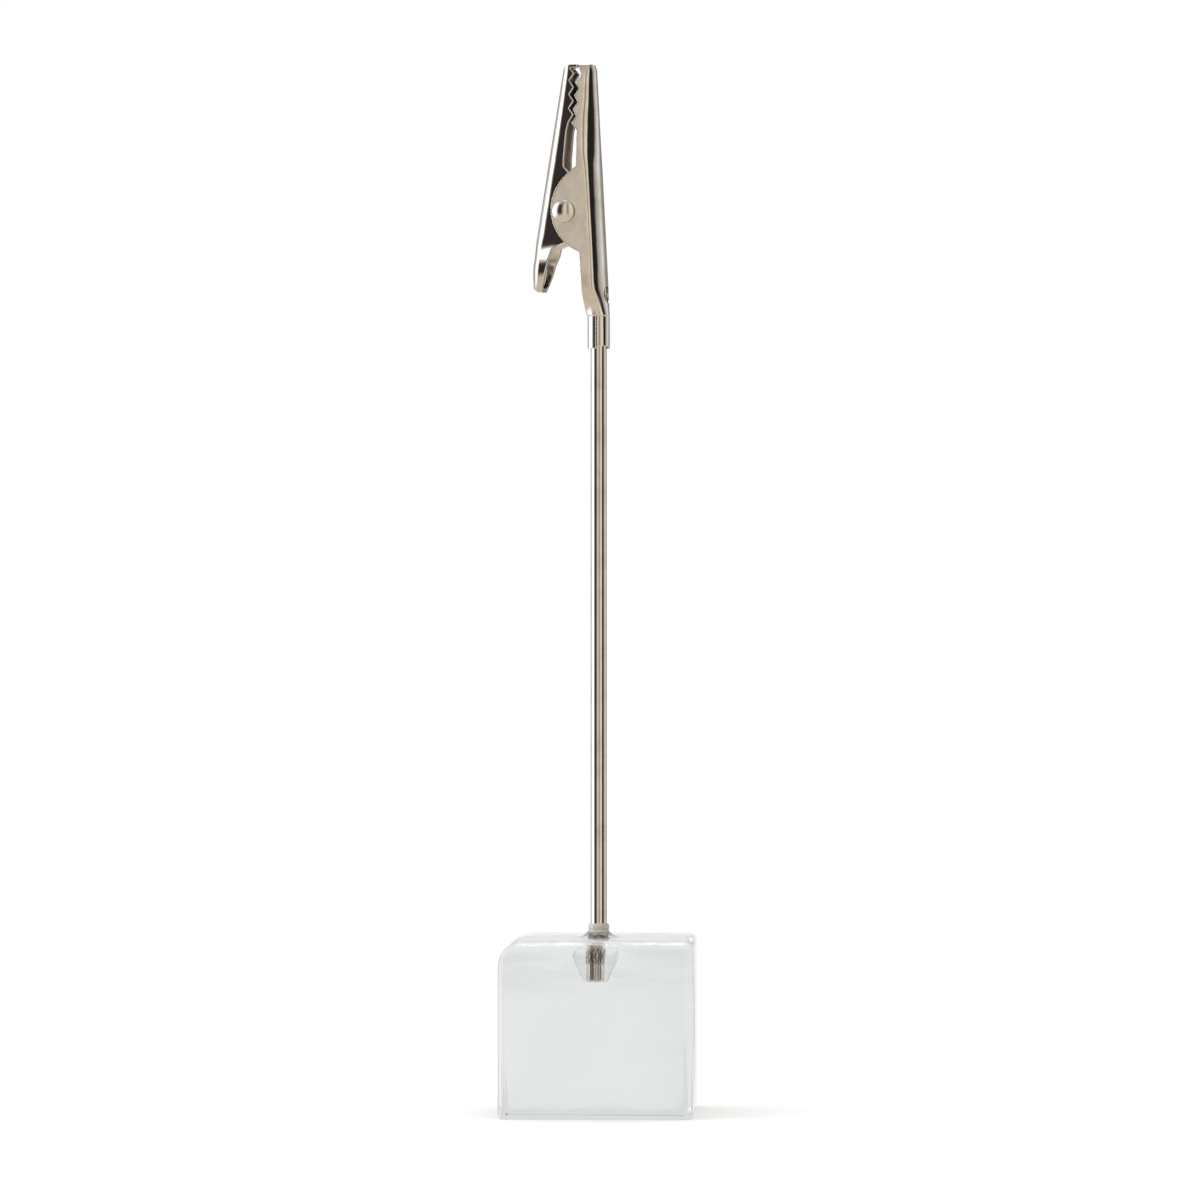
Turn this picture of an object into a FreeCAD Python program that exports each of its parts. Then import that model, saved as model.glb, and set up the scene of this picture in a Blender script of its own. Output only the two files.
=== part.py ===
import FreeCAD, Part
import os
import re
import Sketcher

# Photo holder: a clear cast block, a plated steel rod potted into it, and a crocodile clip
# of folded plated sheet crimped on the rod's top end. Millimetres, +Z up. The origin is the
# middle of the block's underside, +X is to the right and -Y is the side that faces out.
#
# The clip is drawn in its own frame, which stands on the rod's top end and is turned about
# the rod: x runs from the moving jaw to the fixed jaw's back, y runs along the rivet.

SIZES = {
    # cast block
    "block_width": 25.0,
    "block_depth": 25.0,
    "block_height": 22.9,
    "edge_radius": 2.0,
    "foot_edge_radius": 1.0,
    # moulded pocket in the block's top, filled by the potting
    "pocket_depth": 6.0,
    "pocket_mouth_radius": 1.95,
    "pocket_rim_radius": 3.3,
    "pocket_rim_depth": 2.0,
    "pocket_floor_radius": 1.5,
    "meniscus_radius": 2.75,
    "meniscus_rise": 1.7,
    "meniscus_sweep": 2.8,
    # rod
    "rod_radius": 1.05,
    "rod_length": 86.1,
    "rod_end_chamfer": 0.15,
    "knurl_start": 2.05,
    "knurl_length": 5.3,
    "knurl_height": 0.14,
    "knurl_ridges": 16,
    # clip: sheet, sleeve and neck
    "clip_turn": -13.5,
    "sheet": 0.4,
    "sleeve_grip": 3.76,
    "sleeve_lip": 0.5,
    "sleeve_step": 0.3,
    "seam_width": 0.14,
    "seam_offset": 0.05,
    "neck_length": 4.1,
    "neck_hole_radius": 1.15,
    "neck_hole_rise": 2.8,
    "neck_edge": 1.58,
    # pivot
    "pivot_rise": 14.03,
    "pivot_reach": 3.88,
    "rivet_radius": 0.75,
    "rivet_play": 0.05,
    "rivet_head_radius": 1.475,
    "rivet_head_rim": 0.22,
    "rivet_dome": 0.55,
    # both jaws
    "nose_rise": 33.2,
    "nose_gap": 0.12,
    "nose_lip": 0.22,
    "crown_angle": 44.0,
    "tooth_pitch": 1.8,
    "tooth_depth": 0.62,
    "tooth_count": 4,
    # fixed jaw
    "fixed_back": 1.2,
    "fixed_lean": 3.0,
    "fixed_splay": 6.0,
    "fixed_neck_half": 2.72,
    "fixed_ear_half": 2.64,
    "fixed_nose_half": 1.56,
    "fixed_pinch": 0.35,
    "fixed_pinch_length": 1.1,
    "fixed_corner": 1.45,
    "fixed_nose_radius": 0.45,
    "fixed_tip_line": 2.6,
    "fixed_tip_lean": 4.8,
    "fixed_first_tooth": 2.3,
    "fixed_slot_edge": 2.35,
    "ear_top": 5.03,
    "ear_top_set_in": 0.59,
    "ear_foot": 5.31,
    "ear_foot_set_in": 2.01,
    "ear_radius": 6.06,
    "slot_foot": 5.88,
    # moving jaw
    "moving_back": 3.86,
    "moving_lean": 9.24,
    "moving_splay": 5.0,
    "moving_pivot_half": 1.88,
    "moving_nose_half": 1.45,
    "moving_corner": 1.0,
    "moving_nose_radius": 1.25,
    "moving_tip_line": 0.93,
    "moving_first_tooth": 1.2,
    "moving_slot_edge": 0.32,
    "moving_nose_taper": 0.1,
    "lobe_radius": 1.3,
    "lobe_angle": 25.0,
    "tail_drop": 10.4,
    "tail_bulge": 1.03,
    "tail_flare_half": 2.28,
    "tail_splay": 20.0,
    "tail_end_half": 0.85,
    "tail_end_radius": 1.3,
    "tail_end_set": 0.08,
    "tail_rim_start": 1.76,
    "tail_rim_depth": 1.35,
    # spring
    "wire_radius": 0.25,
    "coil_radius": 1.25,
    "coil_length": 2.5,
    "coil_turns": 3,
    "wire_sides": 8,
    "long_leg_angle": 20.0,
    "long_leg": 7.2,
    "short_leg_angle": 25.0,
    "short_leg": 6.6,
}

WORD = re.compile(r"[a-z_]+")
doc = FreeCAD.newDocument("PhotoHolder")
sheet = doc.addObject("Spreadsheet::Sheet", "Sizes")
for row, (name, size) in enumerate(SIZES.items(), start=1):
    sheet.set("A%d" % row, name.replace("_", " "))
    sheet.set("B%d" % row, str(size))
    sheet.setAlias("B%d" % row, name)
doc.recompute()


def formula(text):
    """Point each named size in a formula at its cell in the sheet."""
    return WORD.sub(lambda word: "Sizes." + word.group() if word.group() in SIZES else word.group(), text)


def value(text):
    """The present value of a formula, in millimetres or degrees."""
    return float(sheet.evalExpression(formula(text)))


def bind(item, **formulas):
    """Tie properties of a feature to formulas on the sheet."""
    for name, text in formulas.items():
        item.setExpression(name, formula(text))


def sketch_on(body, name, role, lift="0", shift="0", swing="0"):
    """A sketch on one of the body's own planes, lifted, shifted and swung about its own Y."""
    sketch = body.newObject("Sketcher::SketchObject", name)
    plane = next(item for item in body.Origin.OriginFeatures if item.Role == role)
    sketch.AttachmentSupport = (plane, [""])
    sketch.MapMode = "FlatFace"
    turn = FreeCAD.Rotation(FreeCAD.Vector(0, 1, 0), value(swing))
    sketch.AttachmentOffset = FreeCAD.Placement(FreeCAD.Vector(0, 0, 0), turn)
    sketch.setExpression("AttachmentOffset.Base.z", formula(lift))
    sketch.setExpression("AttachmentOffset.Base.x", formula(shift))
    if swing != "0":
        sketch.setExpression("AttachmentOffset.Rotation.Angle", formula(swing))
    return sketch


def pin(sketch, edge, end, x, y):
    """Hold one end of an edge at two formulas, measured from the sketch's origin."""
    for kind, text in (("DistanceX", x), ("DistanceY", y)):
        index = sketch.addConstraint(Sketcher.Constraint(kind, -1, 1, edge, end, value(text)))
        sketch.setExpression("Constraints[%d]" % index, formula(text))


def outline(sketch, corners):
    """Draw a closed outline. A corner is (x, y), or (x, y, radius, side) where an arc of that
    radius leads on to the next corner and bulges to its left (side 1) or its right (side -1)."""
    points = [FreeCAD.Vector(value(corner[0]), value(corner[1]), 0) for corner in corners]
    ends = []
    for index, corner in enumerate(corners):
        start = points[index]
        stop = points[(index + 1) % len(points)]
        if len(corner) == 2:
            edge = sketch.addGeometry(Part.LineSegment(start, stop), False)
            ends.append((edge, 1, 2))
            continue
        radius = value(corner[2])
        chord = stop.sub(start)
        left = FreeCAD.Vector(-chord.y, chord.x, 0).normalize()
        rise = radius - (radius ** 2 - (chord.Length / 2) ** 2) ** 0.5
        middle = (start + stop) * 0.5 + left * (rise * corner[3])
        edge = sketch.addGeometry(Part.Arc(start, middle, stop), False)
        limit = sketch.addConstraint(Sketcher.Constraint("Radius", edge, radius))
        sketch.setExpression("Constraints[%d]" % limit, formula(corner[2]))
        away = [sketch.getPoint(edge, end).distanceToPoint(start) for end in (1, 2)]
        ends.append((edge, 1, 2) if away[0] < away[1] else (edge, 2, 1))
    for index, (edge, first, last) in enumerate(ends):
        after, after_first, after_last = ends[(index + 1) % len(ends)]
        sketch.addConstraint(Sketcher.Constraint("Coincident", edge, last, after, after_first))
        pin(sketch, edge, first, corners[index][0], corners[index][1])


def ring(sketch, radius, x="0", y="0"):
    """Draw a circle."""
    centre = FreeCAD.Vector(value(x), value(y), 0)
    edge = sketch.addGeometry(Part.Circle(centre, FreeCAD.Vector(0, 0, 1), value(radius)), False)
    index = sketch.addConstraint(Sketcher.Constraint("Radius", edge, value(radius)))
    sketch.setExpression("Constraints[%d]" % index, formula(radius))
    pin(sketch, edge, 3, x, y)


def new_body(label, turned=False):
    """An empty body; a turned one stands in the clip's frame on top of the rod."""
    body = doc.addObject("PartDesign::Body", label)
    body.Label = label
    if turned:
        bind(body, **{"Placement.Base.z": ROD_TOP, "Placement.Rotation.Angle": "clip_turn"})
    return body


def pad(body, sketch, length, reverse=False):
    feature = body.newObject("PartDesign::Pad", sketch.Name + "Pad")
    feature.Profile = sketch
    feature.Reversed = reverse
    bind(feature, Length=length)
    doc.recompute()
    return feature


def cut_through(body, sketch, both_ways=True, reverse=False):
    """A pocket right through the body; it must take something away."""
    before = body.Shape.Volume
    feature = body.newObject("PartDesign::Pocket", sketch.Name + "Cut")
    feature.Profile = sketch
    feature.Type = "ThroughAll"
    feature.SideType = "Symmetric" if both_ways else "One side"
    feature.Reversed = reverse
    doc.recompute()
    if not body.Shape.Volume < before:
        raise RuntimeError(sketch.Name + " takes nothing away")
    return feature


def loft(body, kind, name, sections):
    """A straight-sided loft, added or taken away."""
    feature = body.newObject("PartDesign::" + kind, name)
    feature.Profile = sections[0]
    feature.Sections = sections[1:]
    feature.Ruled = True
    doc.recompute()
    return feature


def edge_names(shape, test):
    """Names of the edges whose middle and length pass a test."""
    return ["Edge%d" % number for number, edge in enumerate(shape.Edges, start=1) if test(edge)]


def round_edges(body, name, radius, test):
    base = body.Tip
    feature = body.newObject("PartDesign::Fillet", name)
    feature.Base = (base, edge_names(base.Shape, test))
    bind(feature, Radius=radius)
    doc.recompute()
    return feature


ROD_FOOT = "block_height - pocket_depth"
ROD_TOP = "block_height - pocket_depth + rod_length"
SLEEVE_RADIUS = "(rod_radius + sheet)"


# Cast block

def make_block():
    body = new_body("base_block")
    plan = sketch_on(body, "BlockPlan", "XY_Plane")
    outline(plan, [("-block_width / 2", "-block_depth / 2"), ("block_width / 2", "-block_depth / 2"),
                   ("block_width / 2", "block_depth / 2"), ("-block_width / 2", "block_depth / 2")])
    pad(body, plan, "block_height")
    height = value("block_height")

    def above_foot(edge):
        return edge.CenterOfMass.z > height / 4

    def on_foot(edge):
        return edge.CenterOfMass.z < height / 1000

    round_edges(body, "SideAndTopEdges", "edge_radius", above_foot)
    round_edges(body, "FootEdges", "foot_edge_radius", on_foot)
    pocket = sketch_on(body, "PocketSection", "XZ_Plane")
    outline(pocket, [("0", "block_height - pocket_depth"),
                     ("pocket_floor_radius", "block_height - pocket_depth"),
                     ("pocket_rim_radius", "block_height - pocket_rim_depth"),
                     ("pocket_mouth_radius", "block_height"),
                     ("pocket_mouth_radius", "block_height + 1"),
                     ("0", "block_height + 1")])
    before = body.Shape.Volume
    groove = body.newObject("PartDesign::Groove", "Pocket")
    groove.Profile = pocket
    groove.ReferenceAxis = (pocket, ["V_Axis"])
    groove.Angle = 360
    doc.recompute()
    if not body.Shape.Volume < before:
        raise RuntimeError("the pocket takes nothing away")
    return body


# Steel rod, with the knurl that keys it into the potting

def make_rod():
    body = new_body("rod")
    bind(body, **{"Placement.Base.z": ROD_FOOT})
    section = sketch_on(body, "RodSection", "XZ_Plane")
    outline(section, [("0", "0"), ("rod_radius - rod_end_chamfer", "0"), ("rod_radius", "rod_end_chamfer"),
                      ("rod_radius", "rod_length - rod_end_chamfer"),
                      ("rod_radius - rod_end_chamfer", "rod_length"), ("0", "rod_length")])
    turned = body.newObject("PartDesign::Revolution", "RodBar")
    turned.Profile = section
    turned.ReferenceAxis = (section, ["V_Axis"])
    turned.Angle = 360
    doc.recompute()
    ridge = sketch_on(body, "Ridge", "XY_Plane", lift="knurl_start")
    foot = "rod_radius - knurl_height / 2"
    half = "rod_radius * sin(180 / knurl_ridges)"
    outline(ridge, [(foot, "-" + half), ("rod_radius + knurl_height", "0"), (foot, half)])
    first = pad(body, ridge, "knurl_length")
    knurl = body.newObject("PartDesign::PolarPattern", "Knurl")
    knurl.Originals = [first]
    knurl.Axis = (ridge, ["N_Axis"])
    knurl.Angle = 360
    bind(knurl, Occurrences="knurl_ridges")
    body.Tip = knurl
    doc.recompute()
    return body


# Clear potting: fills the pocket round the rod and climbs it in a meniscus

def make_potting(rod):
    blank = new_body("PottingBlank")
    section = sketch_on(blank, "PottingSection", "XZ_Plane")
    outline(section, [("0", "block_height - pocket_depth"),
                      ("pocket_floor_radius", "block_height - pocket_depth"),
                      ("pocket_rim_radius", "block_height - pocket_rim_depth"),
                      ("pocket_mouth_radius", "block_height"),
                      ("meniscus_radius", "block_height", "meniscus_sweep", 1),
                      ("rod_radius", "block_height + meniscus_rise"),
                      ("0", "block_height + meniscus_rise")])
    turned = blank.newObject("PartDesign::Revolution", "PottingTurned")
    turned.Profile = section
    turned.ReferenceAxis = (section, ["V_Axis"])
    turned.Angle = 360
    doc.recompute()
    potting = doc.addObject("Part::Cut", "potting")
    potting.Base = blank
    potting.Tool = rod
    potting.Label = "potting"
    doc.recompute()
    return potting


# Sections of a jaw: a folded channel with a rounded back

def channel_corners(side, back, half, splay, corner, inside="0"):
    """Radii and corners of a jaw's section, the wall's thickness further in where inside is
    given: corner radius, crown radius, crown's end and cheek's start."""
    corner_in = "((%s) - (%s))" % (corner, inside)
    crown = "(((%s) - (%s) * (cos(%s) - sin(crown_angle))) / sin(crown_angle) - (%s))" % (
        half, corner, splay, inside)
    apex = "((%s) - %d * (%s))" % (back, side, inside)
    crown_x = "(%s - %d * %s * (1 - cos(crown_angle)))" % (apex, side, crown)
    crown_y = "(%s * sin(crown_angle))" % crown
    cheek_x = "(%s - %d * %s * (cos(crown_angle) - sin(%s)))" % (crown_x, side, corner_in, splay)
    cheek_y = "(%s + %s * (cos(%s) - sin(crown_angle)))" % (crown_y, corner_in, splay)
    return corner_in, crown, crown_x, crown_y, cheek_x, cheek_y


def channel_sketch(body, name, height, side, back, half, splay, corner, mouth, inside="0"):
    """Section of a jaw at a height. side is 1 where the back faces +x, back is the crown's x,
    half is the half width where the cheek starts, and mouth is the x of the open side."""
    sketch = sketch_on(body, name, "XY_Plane", lift=height)
    corner_in, crown, crown_x, crown_y, cheek_x, cheek_y = channel_corners(
        side, back, half, splay, corner, inside)
    mouth_y = "(%s + %d * (%s - (%s)) * tan(%s))" % (cheek_y, side, cheek_x, mouth, splay)
    outline(sketch, [(mouth, "-" + mouth_y), (cheek_x, "-" + cheek_y, corner_in, -side),
                     (crown_x, "-" + crown_y, crown, -side), (crown_x, crown_y, corner_in, -side),
                     (cheek_x, cheek_y), (mouth, mouth_y)])
    return sketch


def fixed_back_at(height):
    return "(fixed_back - ((%s) - sleeve_lip - neck_length) * tan(fixed_lean))" % height


def moving_back_at(height):
    return "(-pivot_reach - moving_back + ((%s) - pivot_rise) * tan(moving_lean))" % height


def frame_cut(body, name, inner, left, right, low, high):
    """Cut away, in side view, all that lies outside an outline."""
    sketch = sketch_on(body, name, "XZ_Plane")
    outline(sketch, [(left, low), (right, low), (right, high), (left, high)])
    outline(sketch, inner)
    return cut_through(body, sketch)


def round_hole(body, name, radius, x, y):
    sketch = sketch_on(body, name, "XZ_Plane")
    ring(sketch, radius, x, y)
    return cut_through(body, sketch)


# Fixed jaw: one folded sheet, from the pinched nose down to the sleeve crimped on the rod

def fixed_teeth():
    """Corners of the toothed edge, from the slot up to the nose."""
    corners = [("-fixed_slot_edge", "pivot_rise + slot_foot"),
               ("-fixed_slot_edge", "nose_rise - fixed_first_tooth - (tooth_count - 0.5) * tooth_pitch")]
    for tooth in reversed(range(int(SIZES["tooth_count"]))):
        tip = "fixed_tip_line + %d * tooth_pitch * tan(fixed_tip_lean)" % tooth
        corners.append(("-(%s)" % tip, "nose_rise - fixed_first_tooth - %d * tooth_pitch" % tooth))
        if tooth:
            corners.append(("tooth_depth - (%s)" % tip,
                            "nose_rise - fixed_first_tooth - (%d - 0.5) * tooth_pitch" % tooth))
    return corners


def make_fixed_jaw():
    body = new_body("fixed_jaw", turned=True)
    ear_high = "pivot_rise + slot_foot + sheet"
    ear_low = "pivot_rise - ear_foot - sheet"
    open_side = "-(pivot_reach + ear_radius / 2)"
    nose_low = "nose_rise - fixed_pinch_length"
    nose_high_back = "(%s - fixed_pinch)" % fixed_back_at("nose_rise")
    levels = [
        # height, back, half width, splay, corner, mouth; the first is the sleeve's round end
        ("sleeve_lip", SLEEVE_RADIUS, SLEEVE_RADIUS + " * cos(45)", "-45", SLEEVE_RADIUS,
         "-" + SLEEVE_RADIUS),
        ("sleeve_lip + neck_length", "fixed_back", "fixed_neck_half", "fixed_splay", "fixed_corner",
         "-neck_edge - 2 * sheet"),
        (ear_low, fixed_back_at(ear_low), "fixed_ear_half", "fixed_splay", "fixed_corner", open_side),
        (ear_high, fixed_back_at(ear_high), "fixed_ear_half", "fixed_splay", "fixed_corner", open_side),
        (nose_low, fixed_back_at(nose_low), "fixed_nose_half", "fixed_splay", "fixed_corner * 0.6",
         open_side),
        ("nose_rise", nose_high_back, "fixed_nose_half - fixed_pinch", "fixed_splay",
         "fixed_corner * 0.5", open_side),
    ]
    blank = [channel_sketch(body, "FixedOuter%d" % number, height, 1, *section)
             for number, (height, *section) in enumerate(levels)]
    loft(body, "AdditiveLoft", "FixedBlank", blank)
    teeth = fixed_teeth()
    nose_back = "(%s)" % fixed_back_at("nose_rise - fixed_nose_radius")
    frame_cut(body, "FixedOutline", [
        ("fixed_back + 2 * sheet", "-sheet"),
        ("fixed_back + 2 * sheet", "nose_rise - fixed_nose_radius"),
        (nose_back, "nose_rise - fixed_nose_radius", "fixed_nose_radius * sqrt(2)", -1),
        (nose_back + " - fixed_nose_radius", "nose_rise"),
        ("nose_lip - fixed_tip_line", "nose_rise"),
        ("nose_lip - fixed_tip_line", "nose_rise - sheet"),
        ("nose_lip - fixed_tip_line + tooth_depth", "nose_rise - fixed_pinch_length"),
        ("-fixed_tip_line + tooth_depth", "nose_rise - fixed_first_tooth + tooth_pitch / 3"),
    ] + teeth[::-1] + [
        ("-pivot_reach + ear_top_set_in", "pivot_rise + ear_top", "ear_radius", -1),
        ("-pivot_reach + ear_foot_set_in", "pivot_rise - ear_foot"),
        ("-neck_edge", "sleeve_lip + neck_length"),
        ("-neck_edge", "-sheet"),
    ], "-3 * pivot_reach", "2 * pivot_reach", "-1", "nose_rise + 1")
    levels[-1] = ("nose_rise - sheet",) + levels[-1][1:]
    hollow = [channel_sketch(body, "FixedInner%d" % number, height, 1, *section, mouth + " - sheet",
                             inside="sheet")
              for number, (height, *section, mouth) in enumerate(levels)]
    loft(body, "SubtractiveLoft", "FixedHollow", hollow)
    sleeve = sketch_on(body, "SleeveSection", "XY_Plane", lift="-sleeve_grip")
    ring(sleeve, SLEEVE_RADIUS)
    pad(body, sleeve, "sleeve_grip + sleeve_lip")
    bore = sketch_on(body, "SleeveBore", "XY_Plane", lift="sleeve_lip")
    ring(bore, "rod_radius")
    cut_through(body, bore, both_ways=False)
    seam = sketch_on(body, "SleeveSeam", "XY_Plane", lift="sleeve_lip")
    outline(seam, [("seam_offset", "-rod_radius - 2 * sheet"),
                   ("seam_offset + seam_width", "-rod_radius - 2 * sheet"),
                   ("seam_offset + seam_width", "-rod_radius / 2"), ("seam_offset", "-rod_radius / 2")])
    cut_through(body, seam, both_ways=False)
    step = sketch_on(body, "SleeveStep", "XY_Plane", lift="-sleeve_grip + sleeve_step")
    outline(step, [("seam_offset", "-rod_radius - 2 * sheet"),
                   ("rod_radius + 2 * sheet", "-rod_radius - 2 * sheet"),
                   ("rod_radius + 2 * sheet", "0"), ("seam_offset", "0")])
    cut_through(body, step, both_ways=False)
    round_hole(body, "RivetHole", "rivet_radius", "-pivot_reach", "pivot_rise")
    neck = sketch_on(body, "NeckHole", "YZ_Plane")
    ring(neck, "neck_hole_radius", "0", "neck_hole_rise + sleeve_lip")
    cut_through(body, neck, both_ways=False, reverse=True)
    return body


# Moving jaw: the second folded sheet, with a closed nose and a spoon-shaped thumb tail

def moving_teeth():
    """Corners of the toothed edge, from the nose down to the slot."""
    corners = []
    for tooth in range(int(SIZES["tooth_count"])):
        high = "nose_rise - moving_first_tooth - %d * tooth_pitch" % tooth
        corners.append(("-pivot_reach + moving_tip_line", high))
        corners.append(("-pivot_reach + moving_tip_line - tooth_depth", high + " - tooth_pitch / 2"))
    return corners


def make_moving_jaw():
    body = new_body("moving_jaw", turned=True)
    mouth = "2 * lobe_radius - pivot_reach"
    lobe_x = "-pivot_reach + lobe_radius * cos(lobe_angle)"
    tail_back = "-pivot_reach - moving_back - tail_bulge"
    tail_top = "pivot_rise - tail_drop * 0.4"
    slot_low = "pivot_rise + slot_foot"
    nose_low = "nose_rise - moving_nose_radius"
    levels = [
        # height, back, half width, splay, corner; shares of the tail's drop down to its end
        ("pivot_rise - tail_drop", tail_back + " + tail_end_set", "tail_end_half", "tail_splay",
         "moving_corner * 0.55"),
        ("pivot_rise - tail_drop * 0.92", tail_back + " + tail_end_set / 2", "tail_end_half * 1.7",
         "tail_splay", "moving_corner * 0.9"),
        ("pivot_rise - tail_drop * 0.75", tail_back, "tail_flare_half * 0.87", "tail_splay",
         "moving_corner * 1.1"),
        ("pivot_rise - tail_drop * 0.52", tail_back + " + sheet / 2", "tail_flare_half", "tail_splay",
         "moving_corner * 1.2"),
        (tail_top, moving_back_at(tail_top), "moving_pivot_half", "moving_splay", "moving_corner"),
        (slot_low, moving_back_at(slot_low), "moving_pivot_half", "moving_splay", "moving_corner"),
        (nose_low, moving_back_at(nose_low), "moving_nose_half", "moving_splay", "moving_corner * 0.75"),
        ("nose_rise", moving_back_at("nose_rise"), "moving_nose_half - moving_nose_taper",
         "moving_splay", "moving_corner * 0.7"),
    ]
    blank = [channel_sketch(body, "MovingOuter%d" % number, height, -1, *section, mouth)
             for number, (height, *section) in enumerate(levels)]
    loft(body, "AdditiveLoft", "MovingBlank", blank)
    frame_cut(body, "MovingOutline", [
        (tail_back + " - 2 * sheet", "pivot_rise - tail_drop + tail_end_radius * 0.85"),
        (tail_back, "pivot_rise - tail_drop + tail_end_radius * 0.85", "tail_end_radius", -1),
        (tail_back + " + tail_end_radius * 0.72", "pivot_rise - tail_drop"),
        (tail_back + " + tail_rim_depth", "pivot_rise - tail_drop"),
        ("-pivot_reach - tail_rim_start - tail_rim_depth", "pivot_rise - tail_drop * 0.82"),
        ("-pivot_reach - tail_rim_start - tail_rim_depth * 0.56", "pivot_rise - tail_drop * 0.65"),
        ("-pivot_reach - tail_rim_start", "pivot_rise - tail_drop * 0.45"),
        ("-pivot_reach - rivet_play", "pivot_rise - tail_drop * 0.385"),
        (lobe_x, "pivot_rise - lobe_radius * sin(lobe_angle)", "lobe_radius", -1),
        (lobe_x, "pivot_rise + lobe_radius * sin(lobe_angle)"),
        ("-pivot_reach + moving_slot_edge + sheet / 4", "pivot_rise + ear_top"),
        ("-pivot_reach - moving_slot_edge", "pivot_rise + slot_foot"),
        ("-pivot_reach - moving_slot_edge", "pivot_rise + slot_foot + tooth_pitch / 2"),
        ("-pivot_reach + moving_tip_line - 1.5 * tooth_depth",
         "nose_rise - moving_first_tooth - (tooth_count + 0.2) * tooth_pitch"),
    ] + moving_teeth()[::-1] + [
        ("-pivot_reach + moving_slot_edge", "nose_rise - sheet"),
        ("nose_lip - nose_gap - fixed_tip_line", "nose_rise - sheet"),
        ("nose_lip - nose_gap - fixed_tip_line", "nose_rise"),
        (moving_back_at("nose_rise") + " + moving_nose_radius * 0.9", "nose_rise", "moving_nose_radius", -1),
        (moving_back_at(nose_low), nose_low),
        (tail_back + " - 2 * sheet", nose_low),
    ], "-4 * pivot_reach", "pivot_reach", "-1", "nose_rise + 1")
    levels[0] = ("pivot_rise - tail_drop + 1.3 * sheet",) + levels[0][1:]
    nose_inner_back = "(%s + moving_nose_radius * 0.62)" % moving_back_at("nose_rise - sheet")
    levels[-1] = ("nose_rise - sheet", nose_inner_back) + levels[-1][2:]
    hollow = [channel_sketch(body, "MovingInner%d" % number, height, -1, *section, mouth + " + sheet",
                             inside="sheet")
              for number, (height, *section) in enumerate(levels)]
    loft(body, "SubtractiveLoft", "MovingHollow", hollow)
    round_hole(body, "PivotHole", "rivet_radius + rivet_play", "-pivot_reach", "pivot_rise")
    return body


# Rivet: shank through both jaws, a domed head on each side

def make_rivet():
    body = new_body("rivet", turned=True)
    section = sketch_on(body, "RivetSection", "XY_Plane", lift="pivot_rise", shift="-pivot_reach")
    cheek_x = channel_corners(1, fixed_back_at("pivot_rise"), "fixed_ear_half", "fixed_splay",
                              "fixed_corner")[4]
    seat = "(fixed_ear_half + (%s + pivot_reach + rivet_head_radius) * tan(fixed_splay))" % cheek_x
    rim = "(%s + rivet_head_rim)" % seat
    top = "(%s + rivet_dome)" % rim
    dome = "((rivet_head_radius ^ 2 + rivet_dome ^ 2) / (2 * rivet_dome))"
    outline(section, [("0", "-" + top, dome, -1),
                      ("rivet_head_radius", "-" + rim), ("rivet_head_radius", "-" + seat),
                      ("rivet_radius", "-" + seat), ("rivet_radius", seat),
                      ("rivet_head_radius", seat), ("rivet_head_radius", rim, dome, -1), ("0", top)])
    turned = body.newObject("PartDesign::Revolution", "RivetTurned")
    turned.Profile = section
    turned.ReferenceAxis = (section, ["V_Axis"])
    turned.Angle = 360
    doc.recompute()
    return body


# Torsion spring: a coil round the rivet, one leg in the tail and one on the fixed jaw's back

def wire_end(sketch, x, y):
    """The wire's section, drawn with flats."""
    corners = []
    for side in range(int(SIZES["wire_sides"])):
        turn = "(%d + 0.5) * 360 / wire_sides" % side
        corners.append(("%s + wire_radius * cos(%s)" % (x, turn), "%s + wire_radius * sin(%s)" % (y, turn)))
    outline(sketch, corners)


def make_spring():
    body = doc.addObject("PartDesign::Body", "jaw_spring")
    body.Label = "jaw_spring"
    body.setExpression("Placement", formula(
        "placement(vector(-pivot_reach * cos(clip_turn); -pivot_reach * sin(clip_turn); %s + pivot_rise);"
        " rotation(clip_turn; -short_leg_angle; 0))" % ROD_TOP))
    sweep = "(180 - long_leg_angle - short_leg_angle)"
    wire = sketch_on(body, "WireSection", "XY_Plane")
    wire_end(wire, "coil_radius", "coil_length / 2")
    coil = body.newObject("PartDesign::AdditiveHelix", "Coil")
    coil.Profile = wire
    coil.ReferenceAxis = (wire, ["V_Axis"])
    coil.Mode = "height-turns-angle"
    coil.Reversed = True
    bind(coil, Height="coil_length", Turns="coil_turns + %s / 360" % sweep)
    doc.recompute()
    short = sketch_on(body, "ShortLeg", "XY_Plane")
    wire_end(short, "coil_radius", "coil_length / 2")
    pad(body, short, "short_leg", reverse=True)
    long = sketch_on(body, "LongLeg", "XY_Plane", swing="-" + sweep)
    wire_end(long, "coil_radius", "-coil_length / 2")
    pad(body, long, "long_leg")
    return body


block = make_block()
rod = make_rod()
potting = make_potting(rod)
fixed_jaw = make_fixed_jaw()
moving_jaw = make_moving_jaw()
rivet = make_rivet()
spring = make_spring()
doc.recompute()

PIECES = [block, potting, rod, fixed_jaw, moving_jaw, rivet, spring]
for item in doc.Objects:
    if "Invalid" in item.State or "Error" in item.State:
        raise RuntimeError("%s did not build: %s" % (item.Name, item.State))
for piece in PIECES:
    if piece.Shape.isNull() or not piece.Shape.isValid() or not piece.Shape.Solids:
        raise RuntimeError("%s has no valid solid" % piece.Label)

os.makedirs("parts", exist_ok=True)
for piece in PIECES:
    piece.Shape.exportStep("parts/%s.step" % piece.Label)
    box = piece.Shape.BoundBox
    print("%-12s %d solid, %8.2f mm3, x %.2f..%.2f y %.2f..%.2f z %.2f..%.2f" % (
        piece.Label, len(piece.Shape.Solids), piece.Shape.Volume,
        box.XMin, box.XMax, box.YMin, box.YMax, box.ZMin, box.ZMax))
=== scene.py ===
import math

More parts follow.
